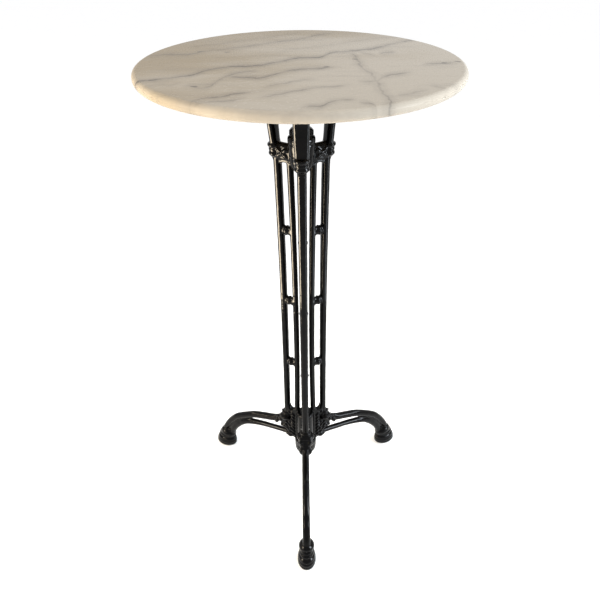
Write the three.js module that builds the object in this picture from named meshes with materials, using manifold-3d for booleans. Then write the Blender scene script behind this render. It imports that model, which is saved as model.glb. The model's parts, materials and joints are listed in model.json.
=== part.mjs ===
// A tall bistro table: a round marble top on three cast-iron legs.
// Millimetres, +Z up, origin on the floor below the middle of the top.
// Each leg is one casting.  It is drawn in its own plane, where x is the distance from the
// table's axis, z the height and y the thickness, and then it is set at its angle about Z.

import * as THREE from 'three';
import { mergeVertices } from 'three/addons/utils/BufferGeometryUtils.js';
import Module from 'manifold-3d';

const wasm = await Module();
wasm.setup();

// ---------- driving dimensions ----------
const TABLE_HEIGHT = 1100;
const TOP_RADIUS = 300;
const TOP_THICKNESS = 20;
const TOP_EDGE_ROUNDING = 9;
const LEG_ANGLES = { front: -90, left: 150, right: 30 };
const FOOT_RADIUS = 265;         // middle of each hoof from the table's axis
const RUNG_HEIGHTS = [389.7, 569.4, 749.1];
const GAP = 0.3;                 // clearance between pieces that touch

// the two upright bars of each casting lean out above and below a waist
const WAIST_HEIGHT = 437;
const OUTER_BAR_WAIST = 51.8;    // radius of the outer bar's centre line at the waist
const INNER_BAR_WAIST = 20.8;
const OUTER_BAR_BOW = 2.1e-5;    // how fast the bars lean out away from the waist, per mm
const INNER_BAR_BOW = 3e-5;
const INNER_BAR_LOWER_BOW = 7e-5;
const BAR_FOOT = 201;
const BAR_HEAD = 914;

// hubs, where the three castings meet around the tie rod; a spigot on each centres its nut
const UPPER_HUB = { bottom: 892, top: 926, radius: 24 };
const LOWER_HUB = { bottom: 124, shoulder: 150, top: 238, radius: 25.4, neck: 21.5 };
const SPIGOT_RADIUS = 14;
const SPIGOT_LENGTH = 8;
const ROD_RADIUS = 5;
const ROD_BEYOND_SPIGOT = { above: 24, below: 9 };
const HUB_WASHER = { radius: 12.5, thickness: 1.9 };
const FINIAL_RADIUS = 27.6;
const FINIAL_HEIGHT = 54.7;
const LOWER_CAP_DEPTH = 21;

// collar that ties the bars together below the marble
const COLLAR_HEIGHT = 923;
const COLLAR_HALF_HEIGHT = 20;

// head pads, screws and inserts under the marble
const MARBLE_UNDERSIDE = TABLE_HEIGHT - TOP_THICKNESS;
const PAD = { top: 1076.7, thickness: 9, inner: 84, outer: 108, halfWidth: 19 };
const CUSHION = { radius: 15, hole: 4 };
const SCREW = { place: 108, radius: 3, tip: 1090, headRadius: 5.6, headHeight: 4 };
const SCREW_WASHER = { radius: 7, thickness: 1.4 };
const INSERT = { radius: 5, length: 12 };

// hoof, and the floor pad let into it
const HOOF_BOTTOM = 1.5;
const HOOF_LEAN = 0.13;          // the foot leans inwards going up, mm per mm
const HOOF_STRETCH = 1.4;        // hoof length over hoof width
const FLOOR_PAD = { radius: 12, thickness: 4.2, recess: 4.5, recessDepth: 2.6, hole: 2.3 };
const FLOOR_SCREW = { radius: 2, headRadius: 4.1, headBottom: 1, tip: 18 };

const WELD = 1e-4;
// turned pieces about the axis have a multiple of 12 sides, so that all three legs match them
const HUB_SIDES = 24;
const ROD_SIDES = 12;
const BAR_SIDES = 8;
const BEAD_SIDES = 10;
const PAD_SIDES = 20;
const RIM_SIDES = 48;

// ---------- materials ----------
const finish = (color, roughness, metalness) => (
  new THREE.MeshStandardMaterial({ color, roughness, metalness })
);
const MARBLE = finish(0xd9d6cf, 0.25, 0);
const BLACK_ENAMEL = finish(0x0c0c0d, 0.22, 0.4);
const STEEL = finish(0x9a9da0, 0.35, 1);
const BRASS = finish(0xb08d45, 0.35, 1);
const RUBBER = finish(0x1b1b1c, 0.85, 0);

// ---------- helpers ----------

// turns a closed three.js geometry into a solid that can be joined and cut
function solid(geometry) {
  const bare = geometry.clone();
  bare.deleteAttribute('normal');
  bare.deleteAttribute('uv');
  const merged = mergeVertices(bare, WELD);
  const points = merged.attributes.position;
  const corners = merged.index.array;
  const kept = [];
  const a = new THREE.Vector3();
  const b = new THREE.Vector3();
  const c = new THREE.Vector3();
  let volume = 0;
  for (let i = 0; i < corners.length; i += 3) {
    const [p, q, r] = [corners[i], corners[i + 1], corners[i + 2]];
    if (p !== q && q !== r && r !== p) {
      kept.push(p, q, r);
      a.fromBufferAttribute(points, p);
      b.fromBufferAttribute(points, q);
      c.fromBufferAttribute(points, r);
      volume += a.dot(b.cross(c));
    }
  }
  if (volume < 0) kept.reverse();
  return new wasm.Manifold(new wasm.Mesh({
    numProp: 3,
    vertProperties: Float32Array.from(points.array),
    triVerts: Uint32Array.from(kept),
  }));
}

function joined(parts) {
  return parts.reduce((whole, part) => whole.add(part));
}

function geometryOf(body) {
  const mesh = body.getMesh();
  const geometry = new THREE.BufferGeometry();
  geometry.setAttribute('position', new THREE.BufferAttribute(mesh.vertProperties, 3));
  geometry.setIndex(new THREE.BufferAttribute(mesh.triVerts, 1));
  geometry.computeVertexNormals();
  return geometry;
}

// a turned shape about the Z axis from [radius, height] pairs, closed on the axis or on itself
function turnedGeometry(profile, sides) {
  const points = profile.map(([radius, height]) => new THREE.Vector2(radius, height));
  const geometry = new THREE.LatheGeometry(points, sides);
  geometry.rotateX(Math.PI / 2);
  return geometry;
}

function turned(profile, sides = HUB_SIDES) {
  return solid(turnedGeometry(profile, sides));
}

// [radius, height] pairs along a quarter or part turn of a circle, angles in degrees
function arc(middleRadius, middleHeight, radius, from, to, steps) {
  return Array.from({ length: steps + 1 }, (_, i) => {
    const angle = THREE.MathUtils.degToRad(THREE.MathUtils.lerp(from, to, i / steps));
    return [middleRadius + radius * Math.cos(angle), middleHeight + radius * Math.sin(angle)];
  });
}

function rod(radius, bottom, top, sides = ROD_SIDES) {
  return turned([[0, bottom], [radius, bottom], [radius, top], [0, top]], sides);
}

function rodAt(x, radius, bottom, top, sides = ROD_SIDES) {
  return rod(radius, bottom, top, sides).translate([x, 0, 0]);
}

function washer(inner, outer, bottom, top, sides = ROD_SIDES) {
  return turned([[inner, bottom], [outer, bottom], [outer, top], [inner, top], [inner, bottom]], sides);
}

// a ring with a rounded rim about the line through [x, z]; tilt turns it about Y, in degrees
function bead([x, z], across, deep, halfHeight, tilt = 0) {
  const shoulder = 0.72;
  const flat = 0.3;
  const geometry = turnedGeometry([
    [0, -1], [shoulder, -1], [1, -flat], [1, flat], [shoulder, 1], [0, 1],
  ], BEAD_SIDES);
  geometry.scale(across, deep, halfHeight);
  geometry.rotateY(THREE.MathUtils.degToRad(tilt));
  geometry.translate(x, 0, z);
  return solid(geometry);
}

// a rounded boss on both flanks of the casting
function boss([x, z], radius, deep) {
  const geometry = new THREE.SphereGeometry(1, 8, 6);
  geometry.scale(radius, deep, radius);
  geometry.translate(x, 0, z);
  return solid(geometry);
}

// value at u (0 to 1) from evenly spaced values
function along(values, u) {
  const place = u * (values.length - 1);
  const first = Math.min(Math.floor(place), values.length - 2);
  return THREE.MathUtils.lerp(values[first], values[first + 1], place - first);
}

// a bar of oval section that follows a line of [x, z] points in the leg's plane;
// deep is half its size in that plane, wide half its size across it, and a power under 1
// squares the section up
function bar(line, deep, wide, steps, power = 1) {
  const curve = new THREE.SplineCurve(line.map(([x, z]) => new THREE.Vector2(x, z)));
  const geometry = new THREE.CylinderGeometry(1, 1, 1, BAR_SIDES, steps);
  const position = geometry.attributes.position;
  const squared = (value) => Math.sign(value) * Math.abs(value) ** power;
  for (let i = 0; i < position.count; i += 1) {
    const u = Math.round((position.getY(i) + 0.5) * steps) / steps;
    const centre = curve.getPointAt(u);
    const run = curve.getTangentAt(u);
    const inPlane = squared(position.getX(i)) * along(deep, u);
    const across = squared(position.getZ(i)) * along(wide, u);
    position.setXYZ(i, centre.x - run.y * inPlane, across, centre.y + run.x * inPlane);
  }
  return solid(geometry);
}

// a flat plate from an outline in the leg's plane
function plate(shape, thickness) {
  const geometry = new THREE.ExtrudeGeometry(shape, {
    depth: thickness, bevelEnabled: false, curveSegments: 6,
  });
  geometry.rotateX(Math.PI / 2);
  geometry.translate(0, thickness / 2, 0);
  return solid(geometry);
}

// ---------- one leg casting, in its own plane ----------

const outerBarX = (z) => OUTER_BAR_WAIST + OUTER_BAR_BOW * (z - WAIST_HEIGHT) ** 2;
const innerBarX = (z) => {
  const bow = z > WAIST_HEIGHT ? INNER_BAR_BOW : INNER_BAR_LOWER_BOW;
  return INNER_BAR_WAIST + bow * (z - WAIST_HEIGHT) ** 2;
};

function uprightLine(xAt) {
  const count = 6;
  return Array.from({ length: count + 1 }, (_, i) => {
    const z = THREE.MathUtils.lerp(BAR_FOOT, BAR_HEAD, i / count);
    return [xAt(z), z];
  });
}

function rung(z) {
  const middle = (outerBarX(z) + innerBarX(z)) / 2;
  const line = [[innerBarX(z), z], [middle, z], [outerBarX(z), z]];
  return bar(line, [13.5, 10.6, 13.5], [6, 8, 6], 2).add(boss([middle, z], 7.6, 11.5));
}

function uprights() {
  return [
    bar(uprightLine(outerBarX), [7, 7.2, 7.6], [8, 8.6, 9.2], 7),
    bar(uprightLine(innerBarX), [6.4, 6.4, 6.9], [6.4, 6.4, 6.9], 7),
    ...RUNG_HEIGHTS.map(rung),
  ];
}

function collar() {
  const z = COLLAR_HEIGHT;
  const halfHeights = [COLLAR_HALF_HEIGHT, COLLAR_HALF_HEIGHT, COLLAR_HALF_HEIGHT];
  const middle = (UPPER_HUB.radius + outerBarX(z)) / 2;
  return [
    bar([[14, z], [40, z], [64, z]], halfHeights, [9, 10.5, 10], 2),
    boss([middle, z + 1], 9.5, 14),
    bead([61, z - 4], 13.5, 15, 5.5),
    bead([62, z + 4], 11.5, 12, 7),
    bead([63, z + 13], 14.5, 15.5, 5.5),
  ];
}

// the head of the leg: a blade that leans out to the pad under the marble
function prong() {
  const line = [[58, BAR_HEAD], [62, 948], [64.4, 972], [68.4, 1008], [75, 1045], [84, 1071]];
  const deep = [7.5, 7.5, 7.5, 7.6, 7.8, 7.5];
  const wide = [13, 14.4, 16, 16.6, 17.4, 18];
  const blade = bar(line, deep, wide, 6, 0.7);
  const outline = new THREE.Shape();
  outline.absarc(PAD.inner, 0, PAD.halfWidth, Math.PI / 2, -Math.PI / 2, false);
  outline.absarc(PAD.outer, 0, PAD.halfWidth, -Math.PI / 2, Math.PI / 2, false);
  const pad = new THREE.ExtrudeGeometry(outline, {
    depth: PAD.thickness, bevelEnabled: false, curveSegments: 8,
  });
  pad.translate(0, 0, PAD.top - PAD.thickness);
  return [blade.subtract(rod(TOP_RADIUS, PAD.top, TABLE_HEIGHT)), solid(pad)];
}

// two members with a long narrow opening between them run together into the ankle
function foot() {
  const upper = bar(
    [[60, 192.5], [92.5, 175.5], [128, 165], [164, 153], [213, 125],
      [236, 103], [253, 78], [265.5, 52], [270, 40]],
    [9, 9, 9, 9.2], [8.8, 8.8, 8.8, 9], 10,
  );
  const lower = bar(
    [[34.5, 146.5], [62, 143.5], [92.5, 139.5], [142, 131.5], [185, 119],
      [207, 104.5], [226, 84], [239, 63], [247, 40]],
    [7.5, 6.6, 6.3, 7.5, 9.6, 9.8, 10], [7, 6.6, 6.6, 7.4, 8.6, 8.8, 9], 10,
  );
  const between = bar(
    [[169, 138], [195, 127], [220, 106], [238, 78], [251, 56], [258, 40]],
    [2, 8, 9, 9, 9, 9], [4, 7, 7.2, 7.4, 7.6, 7.6], 6,
  );
  return [upper, lower, between];
}

function hoof() {
  const geometry = turnedGeometry([
    [0, HOOF_BOTTOM], [16, HOOF_BOTTOM], [21, 6.5], [21.6, 12], [20, 22], [16, 31],
    [17.4, 35], [17, 39], [14, 45], [0, 45],
  ], 14);
  geometry.scale(HOOF_STRETCH, 1, 1);
  const widestHeight = 10;
  const leaning = new THREE.Matrix4().set(
    1, 0, -HOOF_LEAN, FOOT_RADIUS + HOOF_LEAN * widestHeight,
    0, 1, 0, 0,
    0, 0, 1, 0,
    0, 0, 0, 1,
  );
  geometry.applyMatrix4(leaning);
  return [solid(geometry), bead([257.5, 49], 23.5, 17.3, 12.5, -21)];
}

// the web, rings and bosses where the bars end and the foot begins
function knuckle() {
  const web = new THREE.Shape();
  web.moveTo(12, 132);
  web.lineTo(44, 140.5);
  web.lineTo(42, 153.5);
  web.quadraticCurveTo(48, 171.5, 70, 171.5);
  web.lineTo(76, 187.5);
  web.lineTo(62, 211.5);
  web.lineTo(45.5, 242);
  web.absarc(38, 239, 7.5, 0, -Math.PI, true);
  web.lineTo(12, 237);
  web.closePath();
  return [
    plate(web, 14),
    bead([54, 205.7], 16.5, 22, 8),
    boss([66, 193.5], 11, 19.5),
    bead([80.5, 180.5], 13.5, 16.5, 6.5, 70),
    boss([42, 143.5], 10.5, 12),
  ];
}

function hubSolids() {
  const { bottom, shoulder, top, radius, neck } = LOWER_HUB;
  const chamfer = 6;
  return [
    turned([
      [0, bottom - SPIGOT_LENGTH], [SPIGOT_RADIUS, bottom - SPIGOT_LENGTH],
      [SPIGOT_RADIUS, bottom], [radius, bottom], [radius, shoulder - chamfer], [neck, shoulder],
      [neck, top - chamfer], [neck - chamfer / 2, top], [0, top],
    ]),
    turned([
      [0, UPPER_HUB.bottom], [UPPER_HUB.radius - chamfer, UPPER_HUB.bottom],
      [UPPER_HUB.radius, UPPER_HUB.bottom + chamfer], [UPPER_HUB.radius, UPPER_HUB.top],
      [SPIGOT_RADIUS, UPPER_HUB.top], [SPIGOT_RADIUS, UPPER_HUB.top + SPIGOT_LENGTH],
      [0, UPPER_HUB.top + SPIGOT_LENGTH],
    ]),
  ];
}

// the third of the space that one leg may fill, half a gap short of its neighbours
function thirdOfSpace() {
  const reach = 2 * TOP_RADIUS;
  const apex = GAP / 2 / Math.sin(Math.PI / 3);
  const wedge = new THREE.Shape();
  wedge.moveTo(apex, 0);
  wedge.lineTo(apex + reach / 2, -reach * Math.sin(Math.PI / 3));
  wedge.lineTo(apex + reach, 0);
  wedge.lineTo(apex + reach / 2, reach * Math.sin(Math.PI / 3));
  wedge.closePath();
  return solid(new THREE.ExtrudeGeometry(wedge, { depth: TABLE_HEIGHT, bevelEnabled: false }));
}

// the room above the upper hub that the finial nut drops into, between the three collars
function finialSeat() {
  const { top } = UPPER_HUB;
  const wide = FINIAL_RADIUS + GAP;
  return turned([
    [0, top + SPIGOT_LENGTH], [SPIGOT_RADIUS, top + SPIGOT_LENGTH], [SPIGOT_RADIUS, top],
    [wide, top], [wide, top + FINIAL_HEIGHT], [0, top + FINIAL_HEIGHT],
  ]);
}

function legCasting() {
  const iron = joined([
    ...uprights(), ...collar(), ...prong(), ...foot(), ...hoof(), ...knuckle(), ...hubSolids(),
  ]);
  const padSocket = FLOOR_PAD.thickness + GAP;
  return iron
    .intersect(thirdOfSpace())
    .subtract(finialSeat())
    .subtract(rod(ROD_RADIUS + GAP, 0, TABLE_HEIGHT))
    .subtract(rodAt(SCREW.place, SCREW.radius + GAP, PAD.top - 2 * PAD.thickness, TABLE_HEIGHT))
    .subtract(rodAt(FOOT_RADIUS, FLOOR_PAD.radius + GAP, 0, padSocket, PAD_SIDES))
    .subtract(rodAt(FOOT_RADIUS, FLOOR_SCREW.radius + GAP, 0, FLOOR_SCREW.tip + 2));
}

// ---------- the other pieces ----------

function marbleTop() {
  const middle = TOP_RADIUS - TOP_EDGE_ROUNDING;
  const slab = turned([
    [0, MARBLE_UNDERSIDE],
    ...arc(middle, MARBLE_UNDERSIDE + TOP_EDGE_ROUNDING, TOP_EDGE_ROUNDING, -90, 0, 3),
    ...arc(middle, TABLE_HEIGHT - TOP_EDGE_ROUNDING, TOP_EDGE_ROUNDING, 0, 90, 3),
    [0, TABLE_HEIGHT],
  ], RIM_SIDES);
  const socketTop = MARBLE_UNDERSIDE + INSERT.length + 2 * GAP;
  const sockets = Object.values(LEG_ANGLES).map((angle) => (
    rodAt(SCREW.place, INSERT.radius + GAP, MARBLE_UNDERSIDE - 1, socketTop).rotate([0, 0, angle])
  ));
  return slab.subtract(joined(sockets));
}

// heights at the two ends of the tie rod, outwards: spigot, washer, floor of the nut's recess
const upperSpigotEnd = UPPER_HUB.top + SPIGOT_LENGTH;
const lowerSpigotEnd = LOWER_HUB.bottom - SPIGOT_LENGTH;
const recessBeyondSpigot = HUB_WASHER.thickness + 2 * GAP;
const rodTop = upperSpigotEnd + ROD_BEYOND_SPIGOT.above;
const rodBottom = lowerSpigotEnd - ROD_BEYOND_SPIGOT.below;

function finialNut() {
  const base = UPPER_HUB.top + GAP;
  const top = UPPER_HUB.top + FINIAL_HEIGHT;
  const cap = turned([
    [0, base], [25.5, base], [27, base + 16], [FINIAL_RADIUS, base + 25], [27.3, base + 32],
    [25.8, base + 36], [23.4, base + 38.5], [24, base + 42], [23.4, base + 47.5],
    [20.4, base + 51.5], [12, top - 1], [0, top],
  ]);
  return cap
    .subtract(rod(SPIGOT_RADIUS + GAP, base - 1, upperSpigotEnd + recessBeyondSpigot, HUB_SIDES))
    .subtract(rod(ROD_RADIUS + GAP, base - 1, rodTop + 1));
}

function lowerCapNut() {
  const top = LOWER_HUB.bottom - GAP;
  const pip = { radius: 6, bottom: 99 };
  const dome = arc(0, 0, 1, -74, 0, 5).map(([across, up]) => (
    [across * LOWER_HUB.radius, top + up * LOWER_CAP_DEPTH]
  ));
  const cap = turned([
    [0, pip.bottom], [pip.radius - 2, pip.bottom + 0.5], [pip.radius, pip.bottom + 2.5],
    ...dome, [0, top],
  ]);
  return cap
    .subtract(rod(SPIGOT_RADIUS + GAP, lowerSpigotEnd - recessBeyondSpigot, top + 1, HUB_SIDES))
    .subtract(rod(ROD_RADIUS + GAP, rodBottom - 1, top + 1));
}

const underPad = PAD.top - PAD.thickness - GAP;
const screwSeat = underPad - SCREW_WASHER.thickness - GAP;

function marbleScrew() {
  const { radius, headRadius, headHeight, tip } = SCREW;
  const head = turned([
    [0, screwSeat - headHeight], [headRadius - 2, screwSeat - headHeight],
    [headRadius, screwSeat - headHeight / 2], [headRadius, screwSeat], [0, screwSeat],
  ], ROD_SIDES);
  return head.add(rod(radius, screwSeat - 1, tip));
}

function floorPad() {
  const { radius, thickness, recess, recessDepth, hole } = FLOOR_PAD;
  return turned([
    [recess, 0], [radius, 0], [radius, thickness], [hole, thickness], [hole, recessDepth],
    [recess, recessDepth], [recess, 0],
  ], PAD_SIDES);
}

function floorPadScrew() {
  const { radius, headRadius, headBottom, tip } = FLOOR_SCREW;
  const headTop = FLOOR_PAD.recessDepth - GAP;
  return turned([
    [0, headBottom], [headRadius - 0.7, headBottom], [headRadius, headTop], [radius, headTop],
    [radius, tip - 2], [0, tip],
  ], BEAD_SIDES);
}

// ---------- the table ----------

const group = new THREE.Group();

function place(name, body, material, angle = 0) {
  const mesh = new THREE.Mesh(geometryOf(body), material);
  mesh.name = name;
  mesh.rotation.z = THREE.MathUtils.degToRad(angle);
  group.add(mesh);
}

const hubWasher = (bottom) => (
  washer(ROD_RADIUS + GAP, HUB_WASHER.radius, bottom, bottom + HUB_WASHER.thickness)
);
place('marble_top', marbleTop(), MARBLE);
place('tie_rod', rod(ROD_RADIUS, rodBottom, rodTop), BLACK_ENAMEL);
place('finial_nut', finialNut(), BLACK_ENAMEL);
place('finial_washer', hubWasher(upperSpigotEnd + GAP), STEEL);
place('lower_washer', hubWasher(lowerSpigotEnd - GAP - HUB_WASHER.thickness), STEEL);
place('lower_cap_nut', lowerCapNut(), BLACK_ENAMEL);

// pieces that repeat with the legs: under the marble at the screw, and on the floor at the hoof
const cushion = washer(CUSHION.hole, CUSHION.radius, PAD.top + GAP, MARBLE_UNDERSIDE - GAP, PAD_SIDES);
const insertBottom = MARBLE_UNDERSIDE + GAP;
const insert = washer(SCREW.radius + GAP, INSERT.radius, insertBottom, MARBLE_UNDERSIDE + INSERT.length);
const screwWasher = washer(
  SCREW.radius + GAP, SCREW_WASHER.radius, underPad - SCREW_WASHER.thickness, underPad,
);
const atScrew = (body) => body.translate([SCREW.place, 0, 0]);
const atFoot = (body) => body.translate([FOOT_RADIUS, 0, 0]);
const perLeg = [
  ['leg_casting', legCasting(), BLACK_ENAMEL],
  ['marble_cushion', atScrew(cushion), RUBBER],
  ['marble_insert', atScrew(insert), BRASS],
  ['screw_washer', atScrew(screwWasher), STEEL],
  ['marble_screw', atScrew(marbleScrew()), STEEL],
  ['floor_pad', atFoot(floorPad()), RUBBER],
  ['floor_pad_screw', atFoot(floorPadScrew()), STEEL],
];
for (const [side, angle] of Object.entries(LEG_ANGLES)) {
  for (const [name, body, material] of perLeg) {
    place(`${name}_${side}`, body, material, angle);
  }
}

export default group;
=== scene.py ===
"""A tall bistro table: three black cast-iron legs around a tie rod, under a round marble top.

Shapes are drawn in millimetres, with the origin on the floor below the middle of the top, and
are turned into metres when a piece is made.  A leg is drawn in its own plane, where x is the
distance from the table's axis, y the thickness and z the height.
"""
import json
import math

import bmesh
import bpy
from mathutils import Matrix, Vector, noise


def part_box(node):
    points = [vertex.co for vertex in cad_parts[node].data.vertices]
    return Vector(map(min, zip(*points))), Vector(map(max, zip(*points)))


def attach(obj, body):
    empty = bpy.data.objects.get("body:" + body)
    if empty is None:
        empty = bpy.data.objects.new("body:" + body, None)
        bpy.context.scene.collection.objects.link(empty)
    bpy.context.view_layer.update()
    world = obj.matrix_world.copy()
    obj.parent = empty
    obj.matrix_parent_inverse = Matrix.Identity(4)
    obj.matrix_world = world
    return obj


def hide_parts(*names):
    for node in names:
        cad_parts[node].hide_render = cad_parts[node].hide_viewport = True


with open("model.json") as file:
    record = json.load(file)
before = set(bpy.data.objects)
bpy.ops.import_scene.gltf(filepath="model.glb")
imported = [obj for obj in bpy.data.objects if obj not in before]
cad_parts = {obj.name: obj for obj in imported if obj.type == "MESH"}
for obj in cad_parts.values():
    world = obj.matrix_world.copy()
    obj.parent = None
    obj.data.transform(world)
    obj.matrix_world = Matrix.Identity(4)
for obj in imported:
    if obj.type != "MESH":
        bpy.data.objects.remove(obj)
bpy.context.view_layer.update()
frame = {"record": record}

MM = 0.001
LEG_ANGLES = {"front": -90, "left": 150, "right": 30}
GAP = 0.3


def box_of(node):
    """Lowest and highest corner of a CAD node, in millimetres."""
    low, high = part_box(node)
    return Vector(low) / MM, Vector(high) / MM


# ---------- sizes taken from the frame ----------

marble_low, marble_high = box_of("marble_top")
TABLE_HEIGHT = marble_high.z
UNDERSIDE = marble_low.z
TOP_RADIUS = marble_high.x
TOP_EDGE_ROUNDING = 9

finial_low, finial_high = box_of("finial_nut")
cap_low, cap_high = box_of("lower_cap_nut")
rod_low, rod_high = box_of("tie_rod")
ROD_RADIUS = rod_high.x
pad_low, pad_high = box_of("floor_pad_front")
FOOT_RADIUS = -(pad_low.y + pad_high.y) / 2
FLOOR_PAD_RADIUS = pad_high.x
screw_low, screw_high = box_of("marble_screw_front")
SCREW_PLACE = -(screw_low.y + screw_high.y) / 2
cushion_low, cushion_high = box_of("marble_cushion_front")
HEAD_TOP = cushion_low.z - GAP

# ---------- sizes of a leg ----------

WAIST_HEIGHT = 437
OUTER_BAR_WAIST = 51.8
INNER_BAR_WAIST = 20.8
OUTER_BAR_BOW = 2.1e-5
INNER_BAR_BOW = 3e-5
INNER_BAR_LOWER_BOW = 7e-5
BAR_FOOT = 201
BAR_HEAD = 914
RUNG_HEIGHTS = [389.7, 569.4, 749.1]
COLLAR_HEIGHT = 923
HEAD_PAD = {"inner": 84, "outer": 108, "half_width": 19, "thickness": 9}
SPIGOT_RADIUS = 14
SPIGOT_LENGTH = 8
UPPER_HUB = {"bottom": 892, "top": finial_low.z - GAP, "radius": 24}
LOWER_HUB = {"bottom": cap_high.z + GAP, "shoulder": 150, "top": 238, "radius": 27.8, "neck": 21.5}
VOXEL = 1.38
LUMP_HEIGHT = 0.22
LUMP_SIZE = 16
ENAMEL_COAT = 0.45

# ---------- drawing ----------


def mix(a, b, share):
    return a + (b - a) * share


def along(values, share):
    """The value at a share, 0 to 1, of the way through evenly spaced values."""
    place = share * (len(values) - 1)
    first = min(int(place), len(values) - 2)
    return mix(values[first], values[first + 1], place - first)


def smooth_line(points, steps=8):
    """(place, direction, share of the length) along a smooth line through [x, z] points."""
    knots = [Vector(point) for point in points]
    knots = [2 * knots[0] - knots[1]] + knots + [2 * knots[-1] - knots[-2]]
    places = []
    for a, b, c, d in zip(knots, knots[1:], knots[2:], knots[3:]):
        for step in range(steps):
            t = step / steps
            bend = (2 * a - 5 * b + 4 * c - d) * t ** 2 + (3 * b - a - 3 * c + d) * t ** 3
            places.append((2 * b + (c - a) * t + bend) / 2)
    places.append(knots[-2])
    travelled = [0.0]
    for a, b in zip(places, places[1:]):
        travelled.append(travelled[-1] + (b - a).length)
    line = []
    for i, place in enumerate(places):
        before = places[max(i - 1, 0)]
        after = places[min(i + 1, len(places) - 1)]
        line.append((place, (after - before).normalized(), travelled[i] / travelled[-1]))
    return line


def arc(middle_radius, middle_height, radius, start, end, steps):
    """(radius, height) pairs along part of a circle, angles in degrees."""
    pairs = []
    for step in range(steps + 1):
        angle = math.radians(mix(start, end, step / steps))
        pairs.append((
            middle_radius + radius * math.cos(angle),
            middle_height + radius * math.sin(angle),
        ))
    return pairs


def bridge(bm, lower, upper):
    """Faces between two rings of vertices, either of which may be a single vertex."""
    count = max(len(lower), len(upper))
    if count == 1:
        return
    for k in range(count):
        corners = [
            lower[k % len(lower)], lower[(k + 1) % len(lower)],
            upper[(k + 1) % len(upper)], upper[k % len(upper)],
        ]
        bm.faces.new(list(dict.fromkeys(corners)))


def add_turned(bm, profile, sides=64, place=Matrix(), closed=False):
    """A turned solid from (radius, height) pairs, closed on the axis or, if closed, on itself."""
    rings = []
    for radius, height in profile:
        count = sides if radius > 1e-6 else 1
        ring = []
        for k in range(count):
            angle = 2 * math.pi * k / sides
            point = Vector((radius * math.cos(angle), radius * math.sin(angle), height))
            ring.append(bm.verts.new(place @ point))
        rings.append(ring)
    for lower, upper in zip(rings, rings[1:]):
        bridge(bm, lower, upper)
    if closed:
        bridge(bm, rings[-1], rings[0])


def add_bar(bm, points, deep, wide, power=1.0, sides=24):
    """A bar of oval section along [x, z] points; deep is half its size in the leg's plane, wide
    half its size across it, and a power under 1 squares the section up."""
    rings = []
    for centre, run, share in smooth_line(points):
        ring = []
        for k in range(sides):
            turn = Vector((math.cos(2 * math.pi * k / sides), math.sin(2 * math.pi * k / sides)))
            in_plane = math.copysign(abs(turn.x) ** power, turn.x) * along(deep, share)
            across = math.copysign(abs(turn.y) ** power, turn.y) * along(wide, share)
            ring.append(bm.verts.new((
                centre.x - run.y * in_plane, across, centre.y + run.x * in_plane,
            )))
        rings.append(ring)
    for lower, upper in zip(rings, rings[1:]):
        bridge(bm, lower, upper)
    bm.faces.new(rings[0])
    bm.faces.new(rings[-1])


def rounded_profile(radial_power, height_power, steps=14):
    """Half outline of a ball of size 1, from pole to pole; small powers square it up."""
    pairs = []
    for step in range(steps + 1):
        angle = math.radians(mix(-90, 90, step / steps))
        up = math.sin(angle)
        pairs.append((
            max(math.cos(angle), 0) ** radial_power,
            math.copysign(abs(up) ** height_power, up),
        ))
    return pairs


BALL = rounded_profile(1, 1)
RING = rounded_profile(0.45, 0.9)


def add_blob(bm, profile, centre, sizes, tilt=0):
    """A ball or ring with half sizes along x, y and z; tilt turns it about y, in degrees."""
    place = (
        Matrix.Translation(centre)
        @ Matrix.Rotation(math.radians(tilt), 4, "Y")
        @ Matrix.Diagonal((*sizes, 1))
    )
    add_turned(bm, profile, 32, place)


def add_ring(bm, centre, across, deep, half_height, tilt=0):
    add_blob(bm, RING, (centre[0], 0, centre[1]), (across, deep, half_height), tilt)


def add_boss(bm, centre, radius, deep):
    add_blob(bm, BALL, (centre[0], 0, centre[1]), (radius, deep, radius))


def add_plate(bm, outline, low, high, upright):
    """A flat plate from an outline; upright plates stand in the leg's plane, others lie flat."""
    rings = []
    for level in (low, high):
        ring = []
        for a, b in outline:
            ring.append(bm.verts.new((a, level, b) if upright else (a, b, level)))
        rings.append(ring)
    bridge(bm, *rings)
    bm.faces.new(rings[0])
    bm.faces.new(rings[1])


def quad_bend(start, control, end, steps=8):
    """Points along a quadratic bend, without its first one."""
    bend = []
    for step in range(1, steps + 1):
        t = step / steps
        bend.append(tuple(
            mix(mix(a, b, t), mix(b, c, t), t) for a, b, c in zip(start, control, end)
        ))
    return bend


def shape_from(bm, name):
    """A mesh in metres from a drawing in millimetres."""
    bmesh.ops.recalc_face_normals(bm, faces=bm.faces)
    bmesh.ops.scale(bm, vec=(MM, MM, MM), verts=bm.verts)
    shape = bpy.data.meshes.new(name)
    bm.to_mesh(shape)
    bm.free()
    return shape


def thing_from(shape):
    thing = bpy.data.objects.new(shape.name, shape)
    bpy.context.scene.collection.objects.link(thing)
    return thing


def settle(thing):
    """Replaces a thing's mesh by what its modifiers make of it."""
    graph = bpy.context.evaluated_depsgraph_get()
    drawn = thing.data
    thing.data = bpy.data.meshes.new_from_object(thing.evaluated_get(graph))
    thing.modifiers.clear()
    name = drawn.name
    bpy.data.meshes.remove(drawn)
    thing.data.name = name


def cut(thing, bm, operation="DIFFERENCE"):
    """Cuts a thing with a drawing in millimetres, or keeps only what lies inside it."""
    tool = thing_from(shape_from(bm, "cutter"))
    step = thing.modifiers.new("cut", "BOOLEAN")
    step.solver = "MANIFOLD"
    step.operation = operation
    step.object = tool
    settle(thing)
    shape = tool.data
    bpy.data.objects.remove(tool)
    bpy.data.meshes.remove(shape)


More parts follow.
